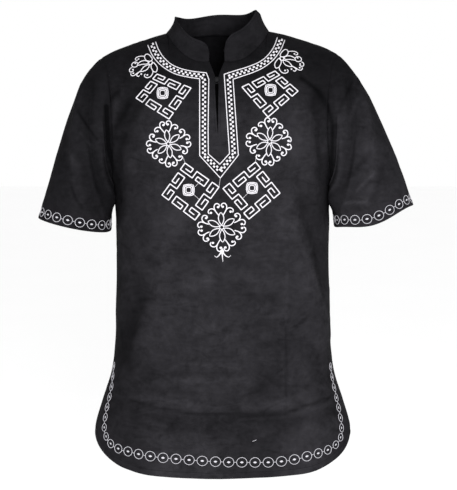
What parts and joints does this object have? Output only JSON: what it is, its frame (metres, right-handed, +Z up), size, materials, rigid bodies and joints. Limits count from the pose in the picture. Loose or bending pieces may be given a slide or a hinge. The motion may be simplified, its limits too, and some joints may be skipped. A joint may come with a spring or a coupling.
{
  "type": "embroidered pullover shirt",
  "caption": "Hollow short-sleeved pullover shirt in worn shape: stand collar, neck slit with ball button, straight body with side vents and rounded hems.",
  "frame": {"origin": "midway between the two points where the collar meets the shoulder seams, at the back of the neckline's height", "axes": "+Z up towards the collar, front faces -Y, +X towards the wearer's left sleeve"},
  "size_m": [0.6524, 0.2795, 0.7964],
  "materials": {
    "cotton": "matt black plain-weave cotton with a faint sheen",
    "button": "satin black"
  },
  "bodies": {
    "root": {"front": "cotton", "back": "cotton", "sleeve_right": "cotton", "sleeve_left": "cotton", "collar": "cotton", "button": "button", "button_loop": "cotton"}
  },
  "joints": []
}
